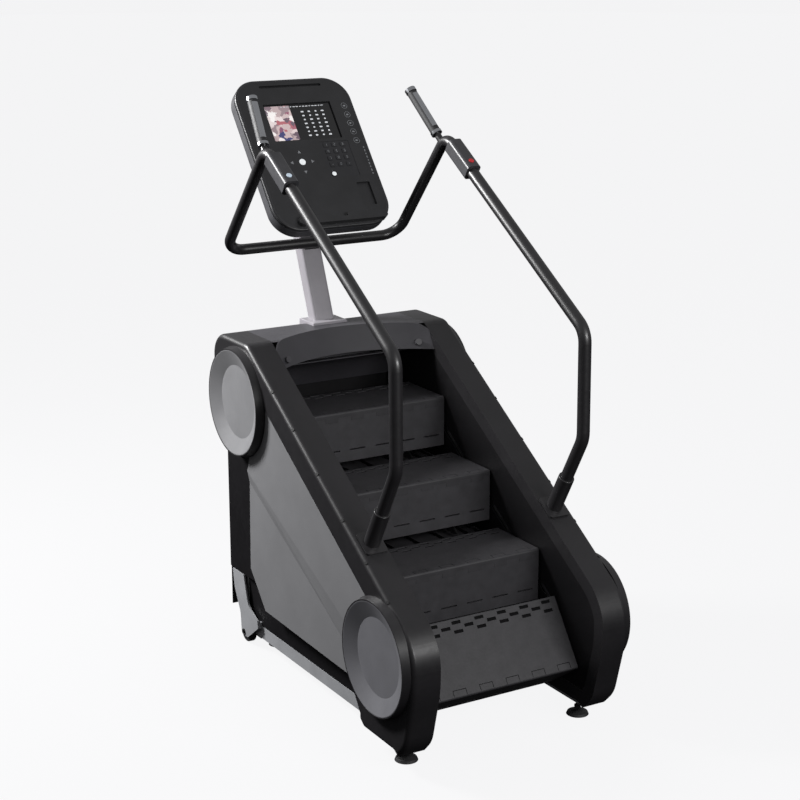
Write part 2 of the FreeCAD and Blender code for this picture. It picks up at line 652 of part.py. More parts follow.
def polyhedron(top, base):
    """A solid between a four-cornered top, given as (x, y, z), and its shadow on the plane at base."""
    upper = [V(*p) for p in top]
    lower = [V(base, p.y, p.z) for p in upper]
    faces = [Part.Face(Part.makePolygon([upper[0], upper[1], upper[2], upper[0]])),
             Part.Face(Part.makePolygon([upper[0], upper[2], upper[3], upper[0]])),
             Part.Face(Part.makePolygon(lower + [lower[0]]))]
    for i in range(4):
        j = (i + 1) % 4
        faces.append(Part.Face(Part.makePolygon([upper[i], upper[j], lower[j], lower[i], upper[i]])))
    return Part.Solid(Part.Shell(faces))


def build_inner_walls():
    x0, x1 = SHELL_IN_X + 3, SHELL_IN_X + 5
    inside = inset(cover_outline(), SKIN + 0.5)
    outline = inside[:7] + [(inside[6][0], 640, 40), (1068, 400, 60), (330, 120, 30), (178, 95)]
    outline += inside[10:]
    wall = prism(outline, x0, x1).cut(stadium(CHAIN_R - SLOT_HALF - 2, x0 - 1, x1 + 1))
    wall = wall.cut(stadium(CHAIN_R + SLOT_HALF, x0 - 1, x1 + 1))
    gap_y0, gap_y1, gap_z0, gap_z1 = TOP_CROSS_TUBE
    wall = wall.cut(box(x0 - 1, x1 + 1, gap_y0 - 1, gap_y1 + 1, gap_z0 - 1, gap_z1 + 1))
    island = stadium(CHAIN_R - SLOT_HALF, x0, x1)
    wall = wall.cut(disc(x0 - 1, x1 + 1, ALTERNATOR, 34))
    holes = [disc(x0 - 1, x1 + 1, centre, 30) for centre in (LOWER_SHAFT, UPPER_SHAFT)]
    for travel in LOOP_TUBES:
        at = (LOWER_SHAFT[0] + travel * COS, LOWER_SHAFT[1] + travel * SIN)
        holes.append(disc(x0 - 1, x1 + 1, at, LOOP_TUBE_R + 0.3))
    island = island.cut(group(holes))
    # the two straight tracks that the chain rollers run on, joined to the inner plate
    track_r = CHAIN_R - SLOT_HALF
    for side in (-1, 1):
        a = [(LOWER_SHAFT[0] + s * COS - side * n * SIN, LOWER_SHAFT[1] + s * SIN + side * n * COS)
             for s, n in ((95, track_r - 6), (95, track_r), (895, track_r), (895, track_r - 6))]
        island = island.fuse(prism(a, x0, CHAIN_X[1]))
    island = island.removeSplitter()
    shapes["right_inner_wall"] = group([wall, island])
    shapes["left_inner_wall"] = mirrored(shapes["right_inner_wall"])


HOOD_ARC_R = 516.3           # the hood's face is hollowed to this radius
HOOD_ARC_TOP = 432.4         # y of the arc's axis at deck height
HOOD_LIP_Z = 1066.0
BOSS_AT = (262.0, 911.0, 1086.0)
LINER_R = 236.0


def hood_arc(radius):
    """The leaning cylinder whose inside forms the hood's hollow face."""
    lean = V(0, 50, 86).normalize()
    at = V(0, HOOD_ARC_TOP, DECK_Z)
    return Part.makeCylinder(radius, 800, at - lean * 400, lean)


def build_hood_and_rear():
    half = SHELL_IN_X - 0.5
    deck = prism([(880, DECK_Z - SKIN), (880, DECK_Z), (1206, DECK_Z, 85), (1206, 1004),
                  (1202.5, 1004), (1202.5, DECK_Z - SKIN, 81.5)], -half, half).cut(hood_arc(HOOD_ARC_R))
    zone = box(-half, half, 800, 1100, HOOD_LIP_Z, DECK_Z)
    wall = hood_arc(HOOD_ARC_R + SKIN).cut(hood_arc(HOOD_ARC_R)).common(zone)
    lip_zone = box(-half, half, 800, 1100, HOOD_LIP_Z, HOOD_LIP_Z + SKIN)
    lip = hood_arc(HOOD_ARC_R + 16).cut(hood_arc(HOOD_ARC_R)).common(lip_zone)
    liner = ring(-half + 4, half - 4, UPPER_SHAFT, LINER_R + 3, LINER_R)
    keep = prism([UPPER_SHAFT, (UPPER_SHAFT[0] + 6, 1400), (1500, 1400), (1500, 1062)], -half, half)
    web = box(-half + 4, half - 4, 1040, 1043, 1038, DECK_Z - 1)
    hood = fuse([deck, wall, lip, liner.common(keep), web])
    hood = hood.common(prism(cover_outline(), -half, half))
    bosses = []
    for side in (-1, 1):
        bosses.append(rod(V(side * BOSS_AT[0], BOSS_AT[1], BOSS_AT[2]),
                          V(side * (BOSS_AT[0] - 3), BOSS_AT[1] - 13, BOSS_AT[2] + 6), 11))
    hole = box(-46, 46, 1094, 1182, DECK_Z - 40, DECK_Z + 5)
    hood = fuse([hood] + bosses).cut(hole)

    back = box(-350, 350, 1206, 1209.5, 120, 999)
    parts = [back]
    for side in (-1, 1):
        a, b = sorted((side * 350, side * 353))
        parts.append(box(a, b, 985, 1209.5, 268, 730))
    slots = [box(-180, 180, 1200, 1215, 300 + 22 * i, 308 + 22 * i) for i in range(8)]
    socket = box(-175, -125, 1200, 1215, 150, 182)
    cover = fuse(parts).cut(group(slots)).cut(socket)
    shapes["top_hood"] = hood

    inlet = box(-174.6, -125.4, 1185, 1206, 150.4, 181.6)
    inlet = inlet.fuse(box(-182, -118, 1209.5, 1212, 144, 188)).fuse(box(-174.6, -125.4, 1200, 1210, 150.4, 181.6))
    inlet = inlet.cut(box(-168, -132, 1195, 1220, 157, 175))
    pins = [box(x - 1, x + 1, 1190, 1207, 163, 169) for x in (-158, -150, -142)]
    shapes["rear_cover"] = fuse([cover, inlet] + pins)


# ---- mast and console ---------------------------------------------------------------------------
def mast_body(half_x, half_y, radius):
    """The leaning mast tube's outside or inside as a solid."""
    top = V(0, math.tan(math.radians(MAST_LEAN)) * MAST_LENGTH, MAST_LENGTH)
    body = rounded_bar(half_x, half_y, radius).extrude(top)
    body.translate(V(0, MAST_FOOT[0], MAST_FOOT[1]))
    return body


def build_mast():
    tube = mast_body(40, 30, 12)
    void = mast_body(37, 27, 9)
    foot_y, foot_z = MAST_FOOT
    plate = box(-70, 70, foot_y - 24, foot_y + 36, TOP_CROSS_TUBE[3], foot_z)
    collar = box(-68, 68, 1078, 1185, 1100, DECK_Z + 9)
    collar = collar.makeFillet(3, [e for e in collar.Edges if e.BoundBox.ZMin > DECK_Z + 8])
    collar = collar.cut(prism(cover_outline(), -100, 100))
    bracket = prism([(1305, 1620), (1201.6, 1648), (1303, 1776), (1368, 1776)], -34, 34)
    cap_z = foot_z + MAST_LENGTH - 4
    cap = mast_body(40, 30, 12).common(box(-50, 50, 1300, 1500, cap_z, cap_z + 10))
    mast = fuse([tube, plate, collar, bracket]).cut(void)
    shapes["mast"] = fuse([mast, cap])


def rounded_bar(half_x, half_y, radius):
    """A level rounded rectangle around the origin."""
    blank = Part.makeBox(2 * half_x, 2 * half_y, 1, V(-half_x, -half_y, 0))
    blank = blank.makeFillet(radius, [e for e in blank.Edges if abs(e.BoundBox.ZLength - 1) < 1e-6])
    return [f for f in blank.Faces if abs(f.BoundBox.ZMax) < 1e-6][0]


def console_point(x, up, out):
    """A point given across, up along and out of the console's face."""
    s = math.sin(math.radians(CONSOLE_LEAN))
    c = math.cos(math.radians(CONSOLE_LEAN))
    return V(x, CONSOLE_CENTRE[0] + up * s - out * c, CONSOLE_CENTRE[1] + up * c + out * s)


def console_place(shape):
    """Move a shape drawn flat (x across, y up the face, z out of it) onto the console."""
    frame = FreeCAD.Placement(V(0, CONSOLE_CENTRE[0], CONSOLE_CENTRE[1]),
                              FreeCAD.Rotation(V(1, 0, 0), 90 - CONSOLE_LEAN))
    return shape.transformed(frame.toMatrix())


def rounded_plate(x0, x1, y0, y1, z0, z1, radius):
    plate = Part.makeBox(x1 - x0, y1 - y0, z1 - z0, V(x0, y0, z0))
    if radius:
        edges = [e for e in plate.Edges if e.BoundBox.ZLength > (z1 - z0) - 1e-6]
        plate = plate.makeFillet(radius, edges)
    return plate


CONSOLE_DEPTH = 68.0
FACE_THICK = 14.0
SEAM = 4.0                   # width of the groove between the face and the housing
SCREEN = (-130.0, 138.0, 50.0, 204.0)
KEYPAD = (34.0, 154.0, -108.0, 38.0)
START_KEY = (-53.0, -38.0)
STOP_KEY = (54.0, -95.0)


def build_console():
    half_w, half_h, corner = CONSOLE_HALF_W, CONSOLE_HEIGHT / 2, CONSOLE_CORNER_R
    back = rounded_plate(-half_w, half_w, -half_h, half_h, -CONSOLE_DEPTH, -FACE_THICK, corner)
    rear_edges = [e for e in back.Edges if e.BoundBox.ZMax < -CONSOLE_DEPTH + 1e-3]
    back = back.makeFillet(26, rear_edges)
    hollow = rounded_plate(-half_w + 4, half_w - 4, -half_h + 4, half_h - 4, -CONSOLE_DEPTH + 4, -13,
                           corner - 4)
    hollow = hollow.makeFillet(22, [e for e in hollow.Edges if e.BoundBox.ZMax < -CONSOLE_DEPTH + 4.1])
    bosses = [Part.makeCylinder(7, CONSOLE_DEPTH - 2 - FACE_THICK, V(x, y, -CONSOLE_DEPTH + 2))
              for x in (-170, 170) for y in (-230, 0, 230)]
    back = back.cut(hollow).multiFuse(bosses).common(
        rounded_plate(-half_w, half_w, -half_h, half_h, -CONSOLE_DEPTH, -FACE_THICK, corner))
    shapes["console_housing"] = console_place(back.removeSplitter())

    face = rounded_plate(-half_w, half_w, -half_h, half_h, SEAM - FACE_THICK, 0, corner)
    front_edges = [e for e in face.Edges if e.BoundBox.ZMin > -1e-3]
    face = face.makeFillet(5, front_edges)
    seat = rounded_plate(-half_w + 3, half_w - 3, -half_h + 3, half_h - 3, -FACE_THICK,
                         SEAM - FACE_THICK, corner - 3)
    face = face.fuse(seat)
    x0, x1, y0, y1 = SCREEN
    cuts = [rounded_plate(x0, x1, y0, y1, -15, 1, 4)]
    cuts.append(rounded_plate(-120, 126, 271, 281, -10, 1, 4))
    kx0, kx1, ky0, ky1 = KEYPAD
    cuts.append(rounded_plate(kx0, kx1, ky0, ky1, -4, 1, 4))
    cuts.append(Part.makeCylinder(12.4, 20, V(START_KEY[0], START_KEY[1], -15)))
    face = face.cut(group(cuts))
    # the tablet shelf stands out at the foot of the face, with a cable notch and a side slot
    shelf = rounded_plate(-150, 196, -292, -262, -10, 20, 12)
    shelf = shelf.cut(rounded_plate(-24, 38, -262 - 12, -255, -3, 25, 0))
    shelf = shelf.cut(rounded_plate(-140, 186, -272, -240, 4, 14, 0))
    slot = rounded_plate(128, 180, -230, -136, -9, 1, 3)
    face = face.fuse(shelf).cut(slot)
    shapes["console_face"] = console_place(face.removeSplitter())

    glass = rounded_plate(x0 + 0.4, x1 - 0.4, y0 + 0.4, y1 - 0.4, -13.9, -6, 3.6)
    shapes["display_glass"] = console_place(glass)

    pad = rounded_plate(kx0 + 0.4, kx1 - 0.4, ky0 + 0.4, ky1 - 0.4, -3.9, -1, 3.6)
    keys = [Part.makeCylinder(10, 3.2, V(STOP_KEY[0], STOP_KEY[1], -2))]
    for row in range(4):
        for column in range(3):
            x = 62 + 33 * column
            y = 24 - 27 * row
            keys.append(rounded_plate(x - 11, x + 11, y - 9, y + 9, -2, 0.8, 3))
    shapes["keypad"] = console_place(pad.multiFuse(keys).removeSplitter())

    button = Part.makeCylinder(12, 14, V(START_KEY[0], START_KEY[1], -12))
    button = button.makeFillet(1.5, [e for e in button.Edges if e.BoundBox.ZMin > 1.9])
    shapes["start_button"] = console_place(button)


# ---- rails --------------------------------------------------------------------------------------
RAIL_FOOT = (187.0, 655.0)   # y, z of the rail's axis where it meets the band
RAIL_KNEE = (30.0, 936.0)
RAIL_SHOULDER = (34.0, 1289.0)
RAIL_PEAK = (862.0, 1819.0)  # where the two straight runs of the loop would meet
LOOP_LOW = (1196.0, 1428.0)
POD_HALF = 28.0
POD_AT = 165.0               # distance of the pod's lower end below the peak, along the rail
GRIP_LOW = (336.0, 903.0, 1819.0)
GRIP_TOP = (308.0, 1043.0, 1965.0)


def unit(a, b):
    length = math.hypot(b[0] - a[0], b[1] - a[1])
    return ((b[0] - a[0]) / length, (b[1] - a[1]) / length)


def rail_point(distance):
    """(y, z) on the upper straight run of a handrail, measured down from the peak."""
    d = unit(RAIL_SHOULDER, RAIL_PEAK)
    return (RAIL_PEAK[0] - d[0] * distance, RAIL_PEAK[1] - d[1] * distance)


def build_rails():
    joint = rail_point(POD_AT)
    foot_dir = unit(RAIL_KNEE, RAIL_FOOT)
    for name, side in SIDES.items():
        x = side * RAIL_X
        points = [V(x, *RAIL_FOOT), V(x, *RAIL_KNEE), V(x, *RAIL_SHOULDER), V(x, *joint)]
        shapes[name + "_handrail"] = bent_tube(points, [90.0, 75.0], RAIL_R, RAIL_WALL)

    d = unit(RAIL_SHOULDER, RAIL_PEAK)
    loop_points = []
    for side in (-1, 1):
        x = side * RAIL_X
        ends = [V(x, *joint), V(x, *RAIL_PEAK), V(x, *LOOP_LOW), V(0, *LOOP_LOW)]
        loop_points += ends[:3] if side == -1 else list(reversed(ends[:3]))
    loop = bent_tube(loop_points, [55.0, 70.0, 70.0, 55.0], LOOP_R, RAIL_WALL)
    neck = []
    for side in (-1, 1):
        low = V(side * GRIP_LOW[0], GRIP_LOW[1], GRIP_LOW[2])
        top = V(side * GRIP_TOP[0], GRIP_TOP[1], GRIP_TOP[2])
        axis = (top - low).normalize()
        neck.append(rod(low - axis * 45, low + axis * 3, 12))
        neck.append(rod(low + axis * 2, top - axis * 12, 9))
    tab = prism([(1200, 1412), (1200, 1444), (1262, 1444), (1238, 1376)], -28, 28)
    shapes["handlebar_loop"] = fuse([loop] + neck + [tab.cut(mast_body(40, 30, 12))])

    # remote pods: a squared sleeve over the joint of rail and loop, with a button pocket
    sleeves = []
    for side in (-1, 1):
        x = side * RAIL_X
        a = V(x, *rail_point(POD_AT + 34))
        b = V(x, *rail_point(52))
        bar = rounded_bar(26, POD_HALF, 12)
        place = FreeCAD.Placement(a, FreeCAD.Rotation(V(0, 0, 1), V(0, d[0], d[1])))
        body = bar.extrude(V(0, 0, a.distanceToPoint(b)))
        body = body.transformed(place.toMatrix())
        body = body.cut(rod(V(x, *rail_point(POD_AT + 60)), V(x, *joint), RAIL_R))
        body = body.cut(rod(V(x, *joint), V(x, *rail_point(0)), LOOP_R))
        at, out = button_seat(side)
        body = body.cut(Part.makeCylinder(9.4, 10, at - out * 5, out))
        sleeves.append(body)
        button = Part.makeCylinder(9, 5, at - out * 2.8, out)
        name = "left" if side < 0 else "right"
        shapes[name + "_remote_button"] = button
    shapes["remote_pods"] = group(sleeves)

    sockets = []
    for side in (-1, 1):
        x = side * RAIL_X
        up = (-foot_dir[0], -foot_dir[1])
        a = V(x, RAIL_FOOT[0] - up[0] * 6, RAIL_FOOT[1] - up[1] * 6)
        b = V(x, RAIL_FOOT[0] + up[0] * 150, RAIL_FOOT[1] + up[1] * 150)
        outer = rod(a, b, RAIL_R + 5.5)
        outer = outer.makeFillet(2.5, [outer.Edges[0]])
        along, _ = slope_coords(RAIL_FOOT)
        plate_low = slope_point(along - 44, BAND_N + 0.3)
        plate = Part.makeBox(76, 88, 7, V(-38, 0, 0))
        plate = plate.makeFillet(10, [e for e in plate.Edges if e.BoundBox.ZLength > 6.9])
        turn = FreeCAD.Placement(V(x, *plate_low), FreeCAD.Rotation(V(1, 0, 0), INCLINE))
        plate = plate.transformed(turn.toMatrix())
        below = Part.makeBox(200, 300, 100, V(-100, -150, -100)).transformed(
            FreeCAD.Placement(V(x, *slope_point(along, BAND_N + 0.3)),
                              FreeCAD.Rotation(V(1, 0, 0), INCLINE)).toMatrix())
        socket = outer.fuse(plate).cut(below)
        bore_a = V(x, RAIL_FOOT[0] - up[0] * 40, RAIL_FOOT[1] - up[1] * 40)
        socket = socket.cut(rod(bore_a, V(x, RAIL_FOOT[0] + up[0] * 170, RAIL_FOOT[1] + up[1] * 170),
                                RAIL_R))
        sockets.append(socket.removeSplitter())
        rail = shapes[("left" if side < 0 else "right") + "_handrail"]
        shapes[("left" if side < 0 else "right") + "_handrail"] = rail.cut(below)
    shapes["rail_sockets"] = group(sockets)


def slope_coords(point):
    return (point[0] * COS + point[1] * SIN, -point[0] * SIN + point[1] * COS)


def button_seat(side):
    """The middle of a remote button's seat, and the way it faces: up and in from the rail."""
    d = unit(RAIL_SHOULDER, RAIL_PEAK)
    y, z = rail_point(POD_AT + 6)
    out = V(0, -d[1], d[0])
    return V(side * RAIL_X, y, z) + out * POD_HALF, out


def build_grips():
    contacts = []
    for name, side in SIDES.items():
        low = V(side * GRIP_LOW[0], GRIP_LOW[1], GRIP_LOW[2])
        top = V(side * GRIP_TOP[0], GRIP_TOP[1], GRIP_TOP[2])
        axis = (top - low).normalize()
        grip = rod(low + axis * 12, top - axis * 8, 18).cut(rod(low, top, 9))
        collars = [rod(low + axis * 3, low + axis * 14, 20), rod(top - axis * 14, top, 20)]
        collars = [c.cut(rod(low - axis * 5, top - axis * 12, 9)) for c in collars]
        grip = grip.cut(group(collars))
        pads = []
        across = axis.cross(V(side, 0, 0)).normalize()
        for sign in (-1, 1):
            a = low + axis * 30
            b = top - axis * 26
            reach = across * (sign * 30)
            wedge = rod(a + reach, b + reach, 18.5)
            pads.append(rod(a, b, 18.4).cut(rod(low, top, 16.8)).common(wedge))
        grip = grip.cut(group(pads))
        shapes[name + "_grip"] = grip.removeSplitter()
        contacts += collars + pads
    shapes["pulse_contacts"] = group(contacts)


def build_fasteners():
    """The screws along the covers and the bolts that the wheels turn on."""
    screws = []
    for side in (-1, 1):
        a, b = sorted((side * (BASE_TUBE[0] - 4), side * (BRACKET_X + 8)))
        head = disc(*sorted((side * (BRACKET_X + 6), side * (BRACKET_X + 11))), wheel_centre(), 9)
        screws.append(disc(a, b, wheel_centre(), 5).fuse(head).removeSplitter())
    for side in (-1, 1):
        screws += cover_screws(side, 5.5, 9, 1.5)
    shapes["fasteners"] = group(screws)


def cover_screws(side, radius, depth, height):
    """Short rods square to a cover's rounded edge, one at each screw."""
    round_r = SHELL_OUT_X - BAND_OUT_X
    diagonal = math.sqrt(0.5)
    out = V(side * diagonal, -SIN * diagonal, COS * diagonal)
    rods = []
    for along in SCREW_ALONG:
        y, z = slope_point(along, BAND_N - round_r)
        seat = V(side * BAND_OUT_X, y, z) + out * round_r
        rods.append(rod(seat - out * depth, seat + out * height, radius))
    return rods


def main():
    build_steps()
    build_drive()
    build_power_unit()
    build_frame()
    build_feet_and_wheels()
    build_covers()
    build_hood_and_rear()
    build_mast()
    build_console()
    build_rails()
    build_grips()
    build_fasteners()
    shift = origin_shift()
    os.makedirs("parts", exist_ok=True)
    for name, shape in shapes.items():
        moved = shape.copy()
        moved.translate(shift)
        moved.exportStep("parts/" + name + ".step")
        good = all(solid.isValid() for solid in moved.Solids)
        print(name, len(moved.Solids), "solids", round(moved.Volume / 1000), "cm3", "" if good else "INVALID")


def origin_shift():
    """From the drawing origin to the bottom centre of the whole machine's box."""
    whole = FreeCAD.BoundBox()
    for shape in shapes.values():
        whole.add(shape.optimalBoundingBox(True, False))
    print("box", [round(v, 1) for v in (whole.XMin, whole.XMax, whole.YMin, whole.YMax, whole.ZMin, whole.ZMax)])
    return V(0, -(whole.YMin + whole.YMax) / 2, 0)


main()
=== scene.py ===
"""Looks of the stair climber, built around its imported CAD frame.  Metres, row frame."""
import math

import bmesh
import bpy
from mathutils import Matrix, Vector


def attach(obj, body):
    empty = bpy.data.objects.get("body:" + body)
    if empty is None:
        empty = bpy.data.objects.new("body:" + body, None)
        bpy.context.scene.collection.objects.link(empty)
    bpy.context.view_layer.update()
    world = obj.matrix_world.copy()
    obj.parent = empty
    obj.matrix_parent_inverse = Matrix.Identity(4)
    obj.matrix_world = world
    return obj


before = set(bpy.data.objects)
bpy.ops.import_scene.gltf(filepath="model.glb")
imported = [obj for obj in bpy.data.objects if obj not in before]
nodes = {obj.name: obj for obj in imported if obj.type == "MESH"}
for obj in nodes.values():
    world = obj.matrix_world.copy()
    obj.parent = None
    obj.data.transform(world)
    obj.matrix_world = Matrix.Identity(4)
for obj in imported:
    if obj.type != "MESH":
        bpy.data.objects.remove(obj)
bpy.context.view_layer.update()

SHIFT_Y = -0.63415           # from the drawing origin at the front feet to the row frame
INCLINE = math.radians(32.9)
SIN, COS = math.sin(INCLINE), math.cos(INCLINE)


# ---- materials ----------------------------------------------------------------------------------
def linear(code):
    """A six-digit colour code as linear RGBA."""
    parts = [int(code[i:i + 2], 16) / 255 for i in (0, 2, 4)]
    return [p / 12.92 if p <= 0.04045 else ((p + 0.055) / 1.055) ** 2.4 for p in parts] + [1.0]


def shaded(colour, factor):
    """A colour made lighter or darker."""
    return [min(1.0, c * factor) for c in colour[:3]] + [1.0]


ROUGH_SPREAD = 0.08          # how far the roughness of every surface goes up and down
BUMP_DEPTH = 0.0004          # metres, for the grain of every surface
MOTTLE_ENDS = (0.3, 0.7)     # the noise values at which the mottle is darkest and lightest


def surface(name, colour, rough, metallic=0.0, grain=(900.0, 0.12), mottle=(14.0, 0.14),
            coat=0.0, stretch=(1.0, 1.0, 1.0), specular=0.5):
    """A moulded, painted or brushed surface: mottled colour, uneven gloss and a fine grain.

    grain and mottle are each the scale of a noise and its strength.
    """
    material = bpy.data.materials.new(name)
    material.use_nodes = True
    tree = material.node_tree
    shader = tree.nodes["Principled BSDF"]
    shader.inputs["Metallic"].default_value = metallic
    shader.inputs["Coat Weight"].default_value = coat
    shader.inputs["Specular IOR Level"].default_value = specular
    place = tree.nodes.new("ShaderNodeTexCoord")
    scale = tree.nodes.new("ShaderNodeMapping")
    scale.inputs["Scale"].default_value = stretch
    tree.links.new(place.outputs["Object"], scale.inputs["Vector"])

    def noise(size, detail):
        node = tree.nodes.new("ShaderNodeTexNoise")
        node.inputs["Scale"].default_value = size
        node.inputs["Detail"].default_value = detail
        tree.links.new(scale.outputs["Vector"], node.inputs["Vector"])
        return node.outputs["Fac"]

    blotches = noise(mottle[0], 4.0)
    ramp = tree.nodes.new("ShaderNodeValToRGB")
    ramp.color_ramp.elements[0].position = MOTTLE_ENDS[0]
    ramp.color_ramp.elements[1].position = MOTTLE_ENDS[1]
    ramp.color_ramp.elements[0].color = shaded(colour, 1 - mottle[1])
    ramp.color_ramp.elements[1].color = shaded(colour, 1 + mottle[1])
    tree.links.new(blotches, ramp.inputs["Fac"])
    tree.links.new(ramp.outputs["Color"], shader.inputs["Base Color"])
    gloss = tree.nodes.new("ShaderNodeMapRange")
    gloss.inputs["To Min"].default_value = max(0.02, rough - ROUGH_SPREAD)
    gloss.inputs["To Max"].default_value = min(1.0, rough + ROUGH_SPREAD)
    tree.links.new(noise(mottle[0] * 6, 3.0), gloss.inputs["Value"])
    tree.links.new(gloss.outputs["Result"], shader.inputs["Roughness"])
    bump = tree.nodes.new("ShaderNodeBump")
    bump.inputs["Strength"].default_value = grain[1]
    bump.inputs["Distance"].default_value = BUMP_DEPTH
    tree.links.new(noise(grain[0], 2.0), bump.inputs["Height"])
    tree.links.new(bump.outputs["Normal"], shader.inputs["Normal"])
    return material


def glowing(name, colour, strength, rough=0.35):
    """A lit mark or picture under glass, or a key with painted glow, with a slight unevenness."""
    material = surface(name, colour, rough, grain=(400.0, 0.02), mottle=(60.0, 0.12))
    shader = material.node_tree.nodes["Principled BSDF"]
    shader.inputs["Emission Color"].default_value = colour
    shader.inputs["Emission Strength"].default_value = strength
    return material


SHELL = surface("shell_plastic", linear("1F1E20"), 0.4, mottle=(9.0, 0.10), specular=0.4)
HOOD = surface("hood_plastic", linear("39383C"), 0.45, mottle=(9.0, 0.10))
# The inner walls' and rear cover's own dark plastic, also used for the dark sheets of painted shade
# under and inside the frame.
INNER_WALL_AND_SHADE = surface("inner_wall_plastic_and_painted_shade", linear("111012"), 0.45, mottle=(9.0, 0.15), specular=0.25)
PANEL = surface("panel_plastic", linear("6A6A6C"), 0.55, mottle=(6.0, 0.05))
# The upper and lower disc covers share one paint: the upper copy is lighter (painted light) and the
# lower copy darker (painted shade), as the light falls off towards the bottom.
DISC_UPPER_LIT = surface("upper_disc_painted_light", linear("757577"), 0.36, mottle=(12.0, 0.06))
DISC_LOWER_SHADED = surface("lower_disc_painted_shade", linear("656569"), 0.36, mottle=(12.0, 0.06))
FRAME = surface("frame_paint", linear("8C8D90"), 0.4, mottle=(12.0, 0.08))
RAIL = surface("rail_paint", linear("201F21"), 0.38, grain=(900.0, 0.02), mottle=(14.0, 0.08),
               coat=0.1)
SCREW = surface("screw_black", linear("080809"), 0.5, specular=0.2)
# Painted shade for the bottoms of the treads' pockets and grooves.
RECESS_SHADE = surface("recess_painted_shade", linear("0B0B0C"), 0.8, grain=(500.0, 0.2), specular=0.1)
MAST = surface("mast_paint", linear("8C898E"), 0.35, mottle=(14.0, 0.08), coat=0.2)
POD = surface("pod_plastic", linear("3A3A3D"), 0.4)
HOUSING = surface("housing_plastic", linear("3E3E41"), 0.45)
FACE = surface("console_plastic", linear("2A2A2C"), 0.42)
GLASS = surface("display_glass", linear("0B0B0D"), 0.12, grain=(300.0, 0.01), coat=0.6)
KEYS = surface("keypad_plastic", linear("2A2A2D"), 0.4)
# The start, stop and remote keys glow a little: painted glow, since they hold no lamp.
WHITE_PAINTED_GLOW = glowing("button_white_painted_glow", linear("EDF1F4"), 0.35)
BLUE_WHITE_PAINTED_GLOW = glowing("remote_key_blue_white_painted_glow", linear("C9D8E6"), 0.2)
RED_PAINTED_GLOW = glowing("remote_key_red_painted_glow", linear("B8232A"), 0.15)
SCREEN_MARKS = glowing("screen_marks", linear("D9DCE0"), 0.35)
PRINT = surface("printed_marks", linear("8A8C90"), 0.5, grain=(500.0, 0.02))
GRIP = surface("grip_rubber", linear("232325"), 0.62, grain=(1400.0, 0.3))
CHROME = surface("chrome", linear("B8BABE"), 0.2, metallic=1.0, grain=(600.0, 0.02),
                 mottle=(20.0, 0.04))
TREAD = surface("tread_plastic", linear("2E2D30"), 0.62, grain=(700.0, 0.35), mottle=(25.0, 0.16))
RISER = surface("riser_plastic", linear("343336"), 0.55, grain=(800.0, 0.25), mottle=(25.0, 0.16))
STEEL = surface("plain_steel", linear("8C8D90"), 0.35, metallic=1.0, grain=(500.0, 0.08),
                stretch=(1.0, 9.0, 9.0))
IRON = surface("cast_housing", linear("3B3B3E"), 0.6, grain=(300.0, 0.5))
BELT = surface("belt_rubber", linear("161617"), 0.7, grain=(900.0, 0.3))
WHEEL = surface("wheel_rubber", linear("1D1D1F"), 0.65, grain=(700.0, 0.3))

looks = {
    "left_shell": SHELL, "right_shell": SHELL, "rear_cover": INNER_WALL_AND_SHADE, "top_hood": HOOD,
    "left_inner_wall": INNER_WALL_AND_SHADE, "right_inner_wall": INNER_WALL_AND_SHADE,
    "left_side_panel": PANEL, "right_side_panel": PANEL,
    "upper_disc_covers": DISC_UPPER_LIT, "lower_disc_covers": DISC_LOWER_SHADED,
    "main_frame": FRAME, "left_handrail": RAIL, "right_handrail": RAIL, "handlebar_loop": RAIL,
    "mast": MAST, "rail_sockets": RAIL, "remote_pods": POD, "console_housing": HOUSING,
    "console_face": FACE, "display_glass": GLASS, "keypad": KEYS, "start_button": WHITE_PAINTED_GLOW,
    "left_remote_button": BLUE_WHITE_PAINTED_GLOW, "right_remote_button": RED_PAINTED_GLOW,
    "left_grip": GRIP, "right_grip": GRIP, "pulse_contacts": CHROME,
    "step_chains": STEEL, "upper_shaft": STEEL, "lower_shaft": STEEL, "fasteners": SCREW,
    "levelling_feet": WHEEL, "shaft_bearings": IRON, "alternator": IRON, "control_box": POD,
    "alternator_pulley": STEEL, "drive_belt": BELT, "left_wheel": WHEEL, "right_wheel": WHEEL,
}
for name, node in nodes.items():
    if name.endswith("_tread"):
        look = TREAD
    elif name.endswith("_riser"):
        look = RISER
    elif name.endswith("_axle"):
        look = STEEL
    else:
        look = looks[name]
    node.data.materials.clear()
    node.data.materials.append(look)


# ---- mesh helpers -------------------------------------------------------------------------------
def finished_object(name, bm, material, body, bevel=0.0, place=None):
    """Turns a bmesh into a named piece that rides on a body; place moves it from its own frame."""
    if place is not None:
        bm.transform(place)
    mesh = bpy.data.meshes.new(name)
    bmesh.ops.recalc_face_normals(bm, faces=bm.faces)
    bm.to_mesh(mesh)
    bm.free()
    mesh.materials.append(material)
    piece = bpy.data.objects.new(name, mesh)
    bpy.context.scene.collection.objects.link(piece)
    if bevel:
        edge = piece.modifiers.new("soft_edges", "BEVEL")
        edge.width = bevel
        edge.segments = 2
        edge.limit_method = "ANGLE"
    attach(piece, body)


def rounded_outline(cx, cy, width, height, radius, steps=6):
    """Points round a rounded rectangle, anticlockwise."""
    radius = min(radius, width / 2 - 1e-5, height / 2 - 1e-5)
    points = []
    corners = ((1, 1, 0), (-1, 1, 90), (-1, -1, 180), (1, -1, 270))
    for sx, sy, start in corners:
        ox = cx + sx * (width / 2 - radius)
        oy = cy + sy * (height / 2 - radius)
        for i in range(steps + 1):
            angle = math.radians(start + 90 * i / steps)
            points.append((ox + radius * math.cos(angle), oy + radius * math.sin(angle)))
    return points


